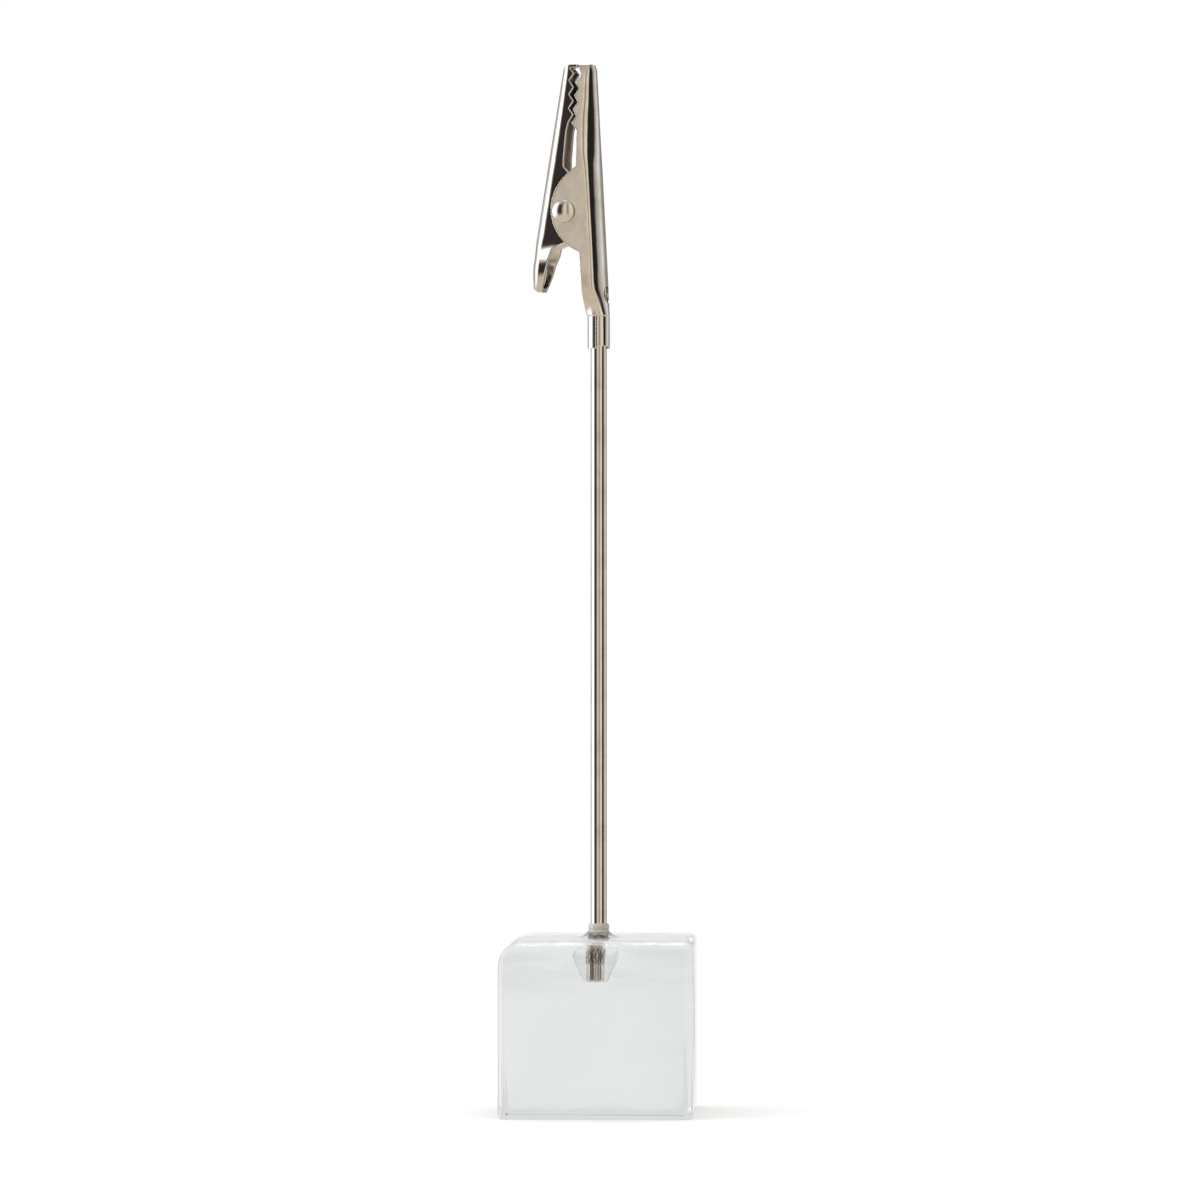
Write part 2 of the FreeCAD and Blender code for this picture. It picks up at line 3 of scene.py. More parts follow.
import bmesh
import bpy
from bpy.props import FloatProperty, FloatVectorProperty, IntProperty, PointerProperty
from mathutils import Matrix, Vector


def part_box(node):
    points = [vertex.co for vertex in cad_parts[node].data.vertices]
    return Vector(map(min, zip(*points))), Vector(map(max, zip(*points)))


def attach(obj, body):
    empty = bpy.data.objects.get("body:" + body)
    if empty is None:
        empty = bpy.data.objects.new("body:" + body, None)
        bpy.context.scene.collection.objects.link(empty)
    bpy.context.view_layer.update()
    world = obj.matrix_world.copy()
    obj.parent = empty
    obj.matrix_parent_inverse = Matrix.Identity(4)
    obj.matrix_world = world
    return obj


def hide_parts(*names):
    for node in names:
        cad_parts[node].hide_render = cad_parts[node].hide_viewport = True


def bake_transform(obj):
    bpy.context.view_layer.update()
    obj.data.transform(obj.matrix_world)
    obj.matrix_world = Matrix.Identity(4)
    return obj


bl_info = {
    "name": "Photo holder",
    "version": (1, 0, 0),
    "blender": (4, 5, 0),
    "location": "View3D > Sidebar > Photo holder",
    "description": "Dresses a clip on a rod in a clear cast block for a photograph",
    "category": "Object",
}

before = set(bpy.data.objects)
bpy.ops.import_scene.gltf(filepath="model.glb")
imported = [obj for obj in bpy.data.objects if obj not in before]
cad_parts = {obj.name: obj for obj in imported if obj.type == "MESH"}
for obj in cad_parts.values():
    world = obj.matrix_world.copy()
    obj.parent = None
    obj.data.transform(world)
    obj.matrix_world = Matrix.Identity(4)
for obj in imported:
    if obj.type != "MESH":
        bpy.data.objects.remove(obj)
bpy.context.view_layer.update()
MM = 0.001

BLOCK_LOW, BLOCK_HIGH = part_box("base_block")
POTTING_LOW, POTTING_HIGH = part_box("potting")
ROD_LOW, ROD_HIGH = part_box("rod")


def linear(hex_colour):
    """Linear colour of an sRGB hex value."""
    shades = [int(hex_colour[place:place + 2], 16) / 255 for place in (1, 3, 5)]
    return tuple(s / 12.92 if s <= 0.04045 else ((s + 0.055) / 1.055) ** 2.4 for s in shades)


# Sizes and colours

class HolderSizes(bpy.types.PropertyGroup):
    """Sizes of the pieces that are modelled here."""

    top_radius: FloatProperty(
        name="Top edge radius", description="Rounding of the block's top edges",
        default=2.0 * MM, unit="LENGTH")
    left_radius: FloatProperty(
        name="Left top edge radius", description="Rounding of the top edge that was polished most",
        default=3.4 * MM, unit="LENGTH")
    right_radius: FloatProperty(
        name="Right top edge radius", description="Rounding of the top edge on the right",
        default=1.2 * MM, unit="LENGTH")
    side_radius: FloatProperty(
        name="Side edge radius", description="Rounding of the block's upright edges",
        default=1.1 * MM, unit="LENGTH")
    foot_radius: FloatProperty(
        name="Foot edge radius", description="Rounding of the front and back lower edges",
        default=0.12 * MM, unit="LENGTH")
    foot_side_radius: FloatProperty(
        name="Foot side radius", description="Rounding of the left and right lower edges",
        default=0.9 * MM, unit="LENGTH")
    pocket_rim: FloatProperty(
        name="Pocket rim radius", description="Largest radius of the potting inside the block",
        default=3.3 * MM, unit="LENGTH")
    pocket_rim_depth: FloatProperty(
        name="Pocket rim depth", description="Depth of the potting's widest place",
        default=2.0 * MM, unit="LENGTH")
    pocket_mouth: FloatProperty(
        name="Pocket mouth radius", description="Radius of the potting at the block's top",
        default=1.95 * MM, unit="LENGTH")
    pocket_floor: FloatProperty(
        name="Pocket floor radius", description="Radius of the potting's flat foot",
        default=1.5 * MM, unit="LENGTH")
    meniscus_radius: FloatProperty(
        name="Meniscus radius", description="Reach of the resin that climbs the rod",
        default=2.75 * MM, unit="LENGTH")
    collar_radius: FloatProperty(
        name="Collar radius", description="Radius of the bead of resin round the rod",
        default=1.32 * MM, unit="LENGTH")
    rod_radius: FloatProperty(
        name="Rod radius", description="Radius of the plain rod", default=1.05 * MM, unit="LENGTH")
    knurl_height: FloatProperty(
        name="Knurl height", description="How far the knurl's points stand out",
        default=0.05 * MM, unit="LENGTH")
    knurl_count: IntProperty(
        name="Knurl points", description="Knurl points round the rod", default=14, min=8)


class HolderColours(bpy.types.PropertyGroup):
    """Colours of the finishes."""

    nickel: FloatVectorProperty(
        name="Nickel", description="Bright nickel plate", subtype="COLOR", size=3,
        default=linear("#E2DED8"))
    tarnish: FloatVectorProperty(
        name="Tarnish", description="Nickel plate where it has dulled", subtype="COLOR", size=3,
        default=linear("#BDB09C"))
    # Painted highlight: this lighter colour on the rounded cut edges stands in for their glint
    rim: FloatVectorProperty(
        name="Rim", description="Nickel tumbled bright and satin along the cut edges", subtype="COLOR",
        size=3, default=linear("#FAF8F4"))
    # Painted shade: this dark colour is painted deep inside folds and in a knurl's grooves
    painted_shade: FloatVectorProperty(
        name="Painted shade", description="Thin dark plating deep inside the folds", subtype="COLOR", size=3,
        default=linear("#4E453B"))
    acrylic: FloatVectorProperty(
        name="Acrylic", description="Clear cast acrylic", subtype="COLOR", size=3,
        default=linear("#DADDDF"))
    resin: FloatVectorProperty(
        name="Resin", description="Clear potting resin", subtype="COLOR", size=3,
        default=linear("#FCFDFC"))
    bead: FloatVectorProperty(
        name="Bead", description="Cloudy resin in the bead round the rod", subtype="COLOR", size=3,
        default=linear("#F3EEE0"))
    floor: FloatVectorProperty(
        name="Floor", description="White paper under the object", subtype="COLOR", size=3,
        default=linear("#ECECEC"))
    ceiling: FloatVectorProperty(
        name="Ceiling", description="Grey ceiling of the studio", subtype="COLOR", size=3,
        default=linear("#828282"))
    table: FloatVectorProperty(
        name="Table", description="Warm table under the paper, as the metal mirrors it",
        subtype="COLOR", size=3, default=linear("#938B7E"))


# Small helpers for modelling

def only(obj=None):
    """Deselect everything, then select and activate one object."""
    bpy.ops.object.select_all(action="DESELECT")
    if obj is not None:
        obj.select_set(True)
        bpy.context.view_layer.objects.active = obj


def start_piece(name):
    """Take the primitive that was just added as a named piece, and go into edit mode."""
    piece = bpy.context.object
    piece.name = name
    piece.data.name = name
    bpy.ops.object.transform_apply(location=True, rotation=True, scale=True)
    bpy.ops.object.mode_set(mode="EDIT")
    return piece


def pick(piece, kind, test):
    """In edit mode, select the vertices, edges or faces that pass a test."""
    bpy.ops.mesh.select_mode(type=kind)
    bpy.ops.mesh.select_all(action="DESELECT")
    mesh = bmesh.from_edit_mesh(piece.data)
    for part in {"VERT": mesh.verts, "EDGE": mesh.edges, "FACE": mesh.faces}[kind]:
        if test(part):
            part.select_set(True)
    mesh.select_flush_mode()
    bmesh.update_edit_mesh(piece.data)


def end_piece(piece, angle=40):
    """Leave edit mode and shade the piece smooth up to an angle in degrees."""
    bpy.ops.mesh.select_all(action="SELECT")
    bpy.ops.mesh.normals_make_consistent(inside=False)
    bpy.ops.object.mode_set(mode="OBJECT")
    only(piece)
    bpy.ops.object.shade_smooth_by_angle(angle=math.radians(angle))


def middle(edge):
    return (edge.verts[0].co + edge.verts[1].co) / 2


def turned_piece(name, profile, sides):
    """Turn a closed solid about the upright axis: a disc at the foot of the profile, extruded
    from one (radius, height) to the next and closed at the top."""
    only()
    bpy.ops.mesh.primitive_circle_add(
        vertices=sides, radius=profile[0][0], fill_type="NGON", location=(0, 0, profile[0][1]))
    piece = start_piece(name)
    pick(piece, "FACE", lambda face: True)
    for (radius, height), (wider, higher) in zip(profile, profile[1:]):
        bpy.ops.mesh.extrude_region_move(TRANSFORM_OT_translate={"value": (0, 0, higher - height)})
        scale = wider / radius
        bpy.ops.transform.resize(value=(scale, scale, 1), center_override=(0, 0, higher))
    return piece


def dress(piece, body, slot, material, *replaced):
    """Give a piece its material and its body, and hide the CAD parts it replaces. The slot is not used."""
    piece.data.materials.clear()
    piece.data.materials.append(material)
    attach(piece, body)
    if replaced:
        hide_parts(*replaced)


# Materials

def node(tree, kind, settings=(), values=(), links=()):
    """Add a node. Settings are its own options, values go on its input sockets, and links come
    from output sockets of other nodes. A socket is given by its name or its number."""
    made = tree.nodes.new(kind)
    for name, setting in dict(settings).items():
        setattr(made, name, setting)
    for socket, value in dict(values).items():
        made.inputs[socket].default_value = value
    for socket, source in dict(links).items():
        tree.links.new(source, made.inputs[socket])
    return made


def new_material(name):
    material = bpy.data.materials.new(name)
    material.use_nodes = True
    material.node_tree.nodes.clear()
    return material, material.node_tree


def per_mm(size):
    """Noise scale, in waves per metre, for a real size in millimetres."""
    return 1 / (size * MM)


def nickel_plate(name, roughness, lines_mm, dent_mm, streak=(1, 1, 0.08), edge_mm=0.24, shade_reach_mm=4.0,
                 points=""):
    """Bright nickel plate on steel: a warm mirror, a little wavy from the press, with faint
    drawing lines, handling marks that dull it in clouds, and edges rounded by the press and the
    plating bath. Deep inside folds, where ambient occlusion finds a place hemmed in, a dark colour
    is painted shade. On a knurl this painted shade is in the grooves between the points, which an
    attribute of the mesh marks. The rounded edges get a lighter colour, a painted highlight."""
    colours = bpy.context.scene.holder_colours
    material, tree = new_material(name)
    place = node(tree, "ShaderNodeTexCoord").outputs["Object"]
    clouds = node(tree, "ShaderNodeTexNoise",
                  values={"Scale": per_mm(3.0), "Detail": 4, "Roughness": 0.6}, links={"Vector": place})
    dull = node(tree, "ShaderNodeMapRange",
                values={"From Min": 0.45, "From Max": 0.75, "To Min": 0.0, "To Max": 0.55},
                links={"Value": clouds.outputs["Fac"]})
    tint = node(tree, "ShaderNodeMix", {"data_type": "RGBA"},
                {"A": (*colours.nickel, 1), "B": (*colours.tarnish, 1)}, {"Factor": dull.outputs["Result"]})
    # How open a place is sets the painted shade: a mesh attribute on a knurl, ambient occlusion elsewhere
    if points:
        openness = node(tree, "ShaderNodeAttribute", {"attribute_name": points}).outputs["Fac"]
        full_shade, no_shade = 0.3, 0.9
    else:
        openness = node(tree, "ShaderNodeAmbientOcclusion", {"samples": 6},
                     {"Distance": shade_reach_mm * MM}).outputs["AO"]
        full_shade, no_shade = 0.1, 0.65
    shaded = node(tree, "ShaderNodeMapRange",
                  values={"From Min": full_shade, "From Max": no_shade, "To Min": 1.0, "To Max": 0.0},
                  links={"Value": openness})
    # Painted shade: the dark colour is mixed in where the place is hemmed in
    painted_shade = node(tree, "ShaderNodeMix", {"data_type": "RGBA"}, {"B": (*colours.painted_shade, 1)},
                {"Factor": shaded.outputs["Result"], "A": tint.outputs["Result"]})
    rough = node(tree, "ShaderNodeMapRange",
                 values={"From Min": 0.3, "From Max": 0.75, "To Min": roughness, "To Max": roughness * 1.8},
                 links={"Value": clouds.outputs["Fac"]})
    # Where the rounded normal leaves the face's own is a rim, which the tumbler made satin; its lighter
    # colour is a painted highlight
    worn = node(tree, "ShaderNodeBevel", {"samples": 12}, {"Radius": edge_mm * MM})
    face = node(tree, "ShaderNodeNewGeometry").outputs["Normal"]
    turn = node(tree, "ShaderNodeVectorMath", {"operation": "DOT_PRODUCT"},
                links={0: worn.outputs["Normal"], 1: face})
    rim = node(tree, "ShaderNodeMapRange",
               values={"From Min": 0.985, "From Max": 0.93, "To Min": 0.0, "To Max": 1.0},
               links={"Value": turn.outputs["Value"]})
    # Painted highlight: the rim gets the lighter colour
    painted_rim_highlight = node(tree, "ShaderNodeMix", {"data_type": "RGBA"}, {"B": (*colours.rim, 1)},
                    {"Factor": rim.outputs["Result"], "A": painted_shade.outputs["Result"]})
    rim_rough = node(tree, "ShaderNodeMix", {"data_type": "FLOAT"}, {"B": 0.42},
                     {"Factor": rim.outputs["Result"], "A": rough.outputs["Result"]})
    stretched = node(tree, "ShaderNodeMapping", values={"Scale": streak}, links={"Vector": place})
    lines = node(tree, "ShaderNodeTexNoise",
                 values={"Scale": per_mm(lines_mm), "Detail": 3, "Roughness": 0.55},
                 links={"Vector": stretched.outputs["Vector"]})
    waves = node(tree, "ShaderNodeTexNoise", values={"Scale": per_mm(2.2), "Detail": 1},
                 links={"Vector": place})
    pressed = node(tree, "ShaderNodeBump", values={"Strength": 1.0, "Distance": dent_mm * MM},
                   links={"Height": waves.outputs["Fac"], "Normal": worn.outputs["Normal"]})
    drawn = node(tree, "ShaderNodeBump", values={"Strength": 0.25, "Distance": 0.004 * MM},
                 links={"Height": lines.outputs["Fac"], "Normal": pressed.outputs["Normal"]})
    metal = node(tree, "ShaderNodeBsdfPrincipled", values={"Metallic": 1.0},
                 links={"Base Color": painted_rim_highlight.outputs["Result"], "Roughness": rim_rough.outputs["Result"],
                        "Normal": drawn.outputs["Normal"]})
    node(tree, "ShaderNodeOutputMaterial", links={"Surface": metal.outputs["BSDF"]})
    return material


def cast_acrylic(name, top):
    """Clear cast acrylic: glossy, a little wavy, more so round the top where the poured resin
    shrank and was polished by hand, and it lets most of the light through to the floor."""
    colours = bpy.context.scene.holder_colours
    material, tree = new_material(name)
    place = node(tree, "ShaderNodeTexCoord").outputs["Object"]
    height = node(tree, "ShaderNodeSeparateXYZ", links={"Vector": place}).outputs["Z"]
    waves = node(tree, "ShaderNodeTexNoise", values={"Scale": per_mm(5.0), "Detail": 1},
                 links={"Vector": place})
    wavy = node(tree, "ShaderNodeBump", values={"Strength": 1.0, "Distance": 0.012 * MM},
                links={"Height": waves.outputs["Fac"]})
    drawn_out = node(tree, "ShaderNodeMapping", values={"Scale": (0.35, 0.8, 1)}, links={"Vector": place})
    ripples = node(tree, "ShaderNodeTexNoise",
                   values={"Scale": per_mm(0.6), "Detail": 3, "Distortion": 0.8},
                   links={"Vector": drawn_out.outputs["Vector"]})
    from_top = node(tree, "ShaderNodeMath", {"operation": "SUBTRACT"}, {1: top}, {0: height})
    off_top = node(tree, "ShaderNodeMath", {"operation": "ABSOLUTE"}, links={0: from_top.outputs["Value"]})
    near_top = node(tree, "ShaderNodeMapRange",
                    values={"From Min": 0.4 * MM, "From Max": 1.5 * MM, "To Min": 1.0, "To Max": 0.0},
                    links={"Value": off_top.outputs["Value"]})
    rippled = node(tree, "ShaderNodeBump", values={"Distance": 0.14 * MM},
                   links={"Height": ripples.outputs["Fac"], "Normal": wavy.outputs["Normal"],
                          "Strength": near_top.outputs["Result"]})
    # Faint grey streaks darken the clear colour, a little everywhere and most in the top few millimetres
    spread = node(tree, "ShaderNodeMapping", values={"Scale": (0.22, 0.22, 1)}, links={"Vector": place})
    streaks = node(tree, "ShaderNodeTexNoise", values={"Scale": per_mm(1.8), "Detail": 3},
                   links={"Vector": spread.outputs["Vector"]})
    streak = node(tree, "ShaderNodeMapRange",
                  values={"From Min": 0.42, "From Max": 0.68, "To Min": 0.0, "To Max": 1.0},
                  links={"Value": streaks.outputs["Fac"]})
    under_edge = node(tree, "ShaderNodeMapRange",
                      values={"From Min": top - 8.5 * MM, "From Max": top - 3.5 * MM,
                              "To Min": 0.12, "To Max": 1.0}, links={"Value": height})
    grey_streaks = node(tree, "ShaderNodeMath", {"operation": "MULTIPLY"},
                links={0: streak.outputs["Result"], 1: under_edge.outputs["Result"]})
    grey = (*(shade * 0.86 for shade in colours.acrylic), 1)
    streaked = node(tree, "ShaderNodeMix", {"data_type": "RGBA"}, {"A": (*colours.acrylic, 1), "B": grey},
                {"Factor": grey_streaks.outputs["Value"]})
    # The bead round the rod is cloudy with fine bubbles
    clear = node(tree, "ShaderNodeMapRange",
                 values={"From Min": top + 0.4 * MM, "From Max": top + 0.8 * MM,
                         "To Min": 1.0, "To Max": 0.3}, links={"Value": height})
    cloudy = node(tree, "ShaderNodeMix", {"data_type": "RGBA"}, {"A": (*colours.bead, 1)},
                  {"Factor": clear.outputs["Result"], "B": streaked.outputs["Result"]})
    plastic = node(tree, "ShaderNodeBsdfPrincipled",
                   values={"Roughness": 0.0, "IOR": 1.49, "Transmission Weight": 1.0},
                   links={"Base Color": cloudy.outputs["Result"], "Normal": rippled.outputs["Normal"],
                          "Transmission Weight": clear.outputs["Result"]})
    light_through = node(tree, "ShaderNodeBsdfTransparent", values={"Color": (0.83, 0.83, 0.83, 1)})
    ray = node(tree, "ShaderNodeLightPath")
    either = node(tree, "ShaderNodeMath", {"operation": "MAXIMUM"},
                  links={0: ray.outputs["Is Shadow Ray"], 1: ray.outputs["Is Diffuse Ray"]})
    both = node(tree, "ShaderNodeMixShader",
                links={"Fac": either.outputs["Value"], 1: plastic.outputs["BSDF"],
                       2: light_through.outputs["BSDF"]})
    node(tree, "ShaderNodeOutputMaterial", links={"Surface": both.outputs["Shader"]})
    return material


def potting_resin(name):
    """Clear resin inside the acrylic. Seen from within the block the two differ only a little, so
    its index is that of one against the other. The bond is uneven, with swirls and fine bubbles."""
    colour = (*bpy.context.scene.holder_colours.resin, 1)
    material, tree = new_material(name)
    place = node(tree, "ShaderNodeTexCoord").outputs["Object"]
    swirls = node(tree, "ShaderNodeTexNoise", values={"Scale": per_mm(1.6), "Detail": 2},
                  links={"Vector": place})
    bubbles = node(tree, "ShaderNodeTexVoronoi", values={"Scale": per_mm(0.45)}, links={"Vector": place})
    dimple = node(tree, "ShaderNodeMapRange", values={"From Min": 0.0, "From Max": 0.3},
                  links={"Value": bubbles.outputs["Distance"]})
    swirled = node(tree, "ShaderNodeBump", values={"Strength": 1.0, "Distance": 0.07 * MM},
                   links={"Height": swirls.outputs["Fac"]})
    dimpled = node(tree, "ShaderNodeBump", values={"Strength": 0.5, "Distance": 0.05 * MM},
                   links={"Height": dimple.outputs["Result"], "Normal": swirled.outputs["Normal"]})
    clear = node(tree, "ShaderNodeBsdfPrincipled",
                 values={"Base Color": colour, "Roughness": 0.0, "IOR": 1.09, "Transmission Weight": 1.0},
                 links={"Normal": dimpled.outputs["Normal"]})
    node(tree, "ShaderNodeOutputMaterial", links={"Surface": clear.outputs["BSDF"]})
    return material


# Pieces

class HOLDER_OT_block(bpy.types.Operator):
    """Model the clear cast block with its rounded edges"""

    bl_idname = "holder.block"
    bl_label = "Cast block"

    def execute(self, context):
        sizes = context.scene.holder_sizes
        size = BLOCK_HIGH - BLOCK_LOW
        centre = (BLOCK_LOW + BLOCK_HIGH) / 2
        only()
        bpy.ops.mesh.primitive_cube_add(size=1, location=centre, scale=size)
        block = start_piece("cast_block")

        def sides(edge):
            """The block's faces that an edge lies on, as -1, 0 or 1 for each axis."""
            at = middle(edge) - centre
            return [round(at[axis] / (size[axis] / 2)) if abs(at[axis]) > 0.499 * size[axis] else 0
                    for axis in range(3)]

        for radius, wanted in (
                (sizes.top_radius, lambda x, y, z: z == 1 and y),
                (sizes.left_radius, lambda x, y, z: z == 1 and x == -1),
                (sizes.right_radius, lambda x, y, z: z == 1 and x == 1),
                (sizes.side_radius, lambda x, y, z: z == 0 and x and y),
                (sizes.foot_side_radius, lambda x, y, z: z == -1 and x),
                (sizes.foot_radius, lambda x, y, z: z == -1 and y)):
            pick(block, "EDGE", lambda edge: wanted(*sides(edge)))
            bpy.ops.transform.edge_bevelweight(value=radius / sizes.left_radius)
        bpy.ops.object.mode_set(mode="OBJECT")
        only(block)
        rounding = block.modifiers.new("Rounding", "BEVEL")
        rounding.limit_method = "WEIGHT"
        rounding.width = sizes.left_radius
        rounding.segments = 10
        bpy.ops.object.modifier_apply(modifier=rounding.name)
        combine(block, self.meniscus(sizes), "UNION")
        only(block)
        bpy.ops.object.shade_smooth_by_angle(angle=math.radians(35))
        acrylic = cast_acrylic("Cast acrylic, polished", BLOCK_HIGH.z)
        dress(block, "stand", "cast_block", acrylic, "base_block")
        return {"FINISHED"}

    @staticmethod
    def meniscus(sizes):
        """The resin that climbs the rod, which is one clear body with the block."""
        top = BLOCK_HIGH.z
        rise = POTTING_HIGH.z - top
        collar = sizes.collar_radius
        flare = sizes.meniscus_radius - collar
        curve = [(collar + flare * out, top + rise * up) for out, up in (
            (1.0, 0.0), (0.72, 0.04), (0.48, 0.1), (0.28, 0.19), (0.12, 0.32), (0.02, 0.44),
            (-0.02, 0.52), (0.02, 0.6), (0.03, 0.72), (0.02, 0.84), (-0.02, 0.93), (-0.1, 0.985),
            (-0.19, 1.0))]
        meniscus = turned_piece("meniscus", [(sizes.meniscus_radius, top - MM)] + curve, sides=96)
        end_piece(meniscus, angle=60)
        return meniscus


class HOLDER_OT_potting(bpy.types.Operator):
    """Model the lens-shaped fill of resin that holds the rod in the block"""

    bl_idname = "holder.potting"
    bl_label = "Potting"

    def execute(self, context):
        sizes = context.scene.holder_sizes
        top = BLOCK_HIGH.z
        fill = turned_piece("potting_fill", [
            (sizes.pocket_floor, POTTING_LOW.z),
            (sizes.pocket_rim, top - sizes.pocket_rim_depth),
            (sizes.pocket_mouth, top - 0.2 * MM),
        ], sides=96)
        end_piece(fill, angle=30)
        resin = potting_resin("Potting resin in acrylic")
        dress(fill, "stand", "potting", resin, "potting")
        fill.visible_shadow = False
        return {"FINISHED"}


class HOLDER_OT_rod(bpy.types.Operator):
    """Model the plated rod with its diamond knurl"""

    bl_idname = "holder.rod"
    bl_label = "Rod"

    def execute(self, context):
        sizes = context.scene.holder_sizes
        chamfer = 0.15 * MM
        plain = turned_piece("plated_rod", [
            (sizes.rod_radius - chamfer, ROD_LOW.z),
            (sizes.rod_radius, ROD_LOW.z + chamfer),
            (sizes.rod_radius, ROD_HIGH.z - chamfer),
            (sizes.rod_radius - chamfer, ROD_HIGH.z),
        ], sides=64)
        end_piece(plain)
        steel = nickel_plate("Nickel plated steel rod", roughness=0.05, lines_mm=0.12, dent_mm=0.0,
                             streak=(1, 1, 0.03), shade_reach_mm=0.1)
        dress(plain, "stand", "rod", steel, "rod")
        knurl = self.knurl(sizes)
        # The real knurl is finer, and its points are drawn this coarse so that they show
        cut = nickel_plate("Nickel plated steel, knurled", roughness=0.1, lines_mm=0.15, dent_mm=0.05,
                           streak=(1, 1, 1), edge_mm=0.01, points="knurl_point")
        dress(knurl, "stand", "rod", cut)
        return {"FINISHED"}

    @staticmethod
    def knurl(sizes):
        """A sleeve of points on the rod inside the potting, every other one pushed out. Its ends
        sink into the rod."""
        low = ROD_LOW.z + 2.05 * MM
        high = low + 5.3 * MM
        rings = 10
        only()
        bpy.ops.mesh.primitive_cylinder_add(
            vertices=2 * sizes.knurl_count, radius=sizes.rod_radius, depth=high - low,
            location=(0, 0, (low + high) / 2), end_fill_type="NOTHING")
        knurl = start_piece("rod_knurl")
        pick(knurl, "EDGE", lambda edge: abs(edge.verts[0].co.z - edge.verts[1].co.z) > MM)
        bpy.ops.mesh.subdivide(number_cuts=rings - 1)
        step = (high - low) / rings

        def stands_out(vert):
            ring = round((vert.co.z - low) / step)
            spoke = round(math.atan2(vert.co.y, vert.co.x) / math.pi * sizes.knurl_count)
            return 0 < ring < rings and (ring + spoke) % 2 == 0

        pick(knurl, "VERT", stands_out)
        reach = 1 + sizes.knurl_height / sizes.rod_radius
        bpy.ops.transform.resize(value=(reach, reach, 1), center_override=(0, 0, low))
        pick(knurl, "VERT", lambda vert: vert.co.z < low + step / 2 or vert.co.z > high - step / 2)
        sunk = 0.98
        bpy.ops.transform.resize(value=(sunk, sunk, 1), center_override=(0, 0, low))
        end_piece(knurl, angle=15)
        points = knurl.data.attributes.new("knurl_point", "FLOAT", "POINT").data
        for vert in knurl.data.vertices:
            points[vert.index].value = vert.co.xy.length > sizes.rod_radius + sizes.knurl_height / 2
        return knurl


# The clip is worked out in millimetres in its own frame: x from the moving jaw to the fixed
# jaw's back, y along the rivet, z up from the rod's top end. It is turned on the rod a little.

CLIP_PLACE = Matrix.Translation((0, 0, ROD_HIGH.z)) @ Matrix.Rotation(math.radians(-13.5), 4, "Z")
SHEET = 0.4
BORE = 1.05
PIVOT_X = -3.88
PIVOT_Z = 14.03
NOSE_Z = 33.2
TOOTH_PITCH = 1.8
TOOTH_DEPTH = 0.62
TEETH = 4


def tan(degrees):
    return math.tan(math.radians(degrees))


def between(rows, height):
    """Row of numbers at a height, on a smooth curve with no overshoot through a table's rows."""
    heights = [row[0] for row in rows]
    last = len(rows) - 1
    place = max(index for index in range(last) if heights[index] <= height or index == 0)
    gap = heights[place + 1] - heights[place]
    part = (height - heights[place]) / gap
    found = []
    for column in range(1, len(rows[0])):
        value = [row[column] for row in rows]
        grade = [(value[i + 1] - value[i]) / (heights[i + 1] - heights[i]) for i in range(last)]

        def slope(index):
            if index in (0, last):
                return grade[min(index, last - 1)]
            before, after = grade[index - 1], grade[index]
            return 2 * before * after / (before + after) if before * after > 0 else 0

        found.append(value[place] * (1 + 2 * part) * (1 - part) ** 2
                     + value[place + 1] * part ** 2 * (3 - 2 * part)
                     + gap * slope(place) * part * (1 - part) ** 2
                     + gap * slope(place + 1) * part ** 2 * (part - 1))
    return found


# Degrees from the middle of a jaw's back, between which its section has the flatter strip
FLAT_FROM, FLAT_TO = 38, 48


def channel(back, half, splay, corner, flat, mouth, wall):
    """Section of a folded jaw, from one mouth edge round the back to the other, or of the hollow
    inside its wall. back and mouth are distances towards the back, half is the half width where
    a cheek starts, and flat and corner are the radii of the flatter strip and of the corner
    beside the rounded back."""
    cheek = 90 - splay

    def rise(angle):
        return math.sin(math.radians(angle))

    crown = (half - flat * (rise(FLAT_TO) - rise(FLAT_FROM))
             - corner * (rise(cheek) - rise(FLAT_TO))) / rise(FLAT_FROM)
    x, y, angle = back - wall, 0.0, 0.0
    points = [(x, y)]
    for radius, stop, steps in ((crown, FLAT_FROM, 8), (flat, FLAT_TO, 4), (corner, cheek, 10)):
        turn = (stop - angle) / steps
        for _ in range(steps):
            here, there = math.radians(angle), math.radians(angle + turn)
            x -= (radius - wall) * (math.cos(here) - math.cos(there))
            y += (radius - wall) * (math.sin(there) - math.sin(here))
            points.append((x, y))
            angle += turn
    cheek_steps = 4
    for step in range(1, cheek_steps + 1):
        along = (x - mouth) * step / cheek_steps
        points.append((x - along, y + along * tan(splay)))
    return [(px, -py) for px, py in points[:0:-1]] + points


def solid_from(name, levels):
    """A closed mesh from sections of equally many points, each [(x, y, z), ...] in millimetres."""
    count = len(levels[0])
    points = [point for level in levels for point in level]
    faces = []
    for level in range(len(levels) - 1):
        for number in range(count):
            after = (number + 1) % count
            faces.append((level * count + number, level * count + after,
                          (level + 1) * count + after, (level + 1) * count + number))
    faces.append(tuple(range(count))[::-1])
    faces.append(tuple((len(levels) - 1) * count + number for number in range(count)))
    mesh = bpy.data.meshes.new(name)
    mesh.from_pydata(points, [], faces)
    solid = bpy.data.objects.new(name, mesh)
    bpy.context.scene.collection.objects.link(solid)
    only(solid)
    bpy.ops.object.mode_set(mode="EDIT")
    bpy.ops.mesh.select_all(action="SELECT")
    bpy.ops.mesh.normals_make_consistent(inside=False)
    bpy.ops.object.mode_set(mode="OBJECT")
    return solid


def jaw_blank(name, rows, side, low, high, wall=0.0):
    """A solid jaw between two heights; with a wall, the hollow inside it, which reaches past the
    mouth by as much. side is 1 where the back faces +x."""
    steps = 110
    levels = []
    for step in range(steps + 1):
        height = low + (high - low) * step / steps
        back, half, splay, corner, flat, mouth = between(rows, height)
        section = channel(back, half, splay, corner, flat, mouth - wall, wall)
        levels.append([(side * x, y, height) for x, y in section])
    return solid_from(name, levels)


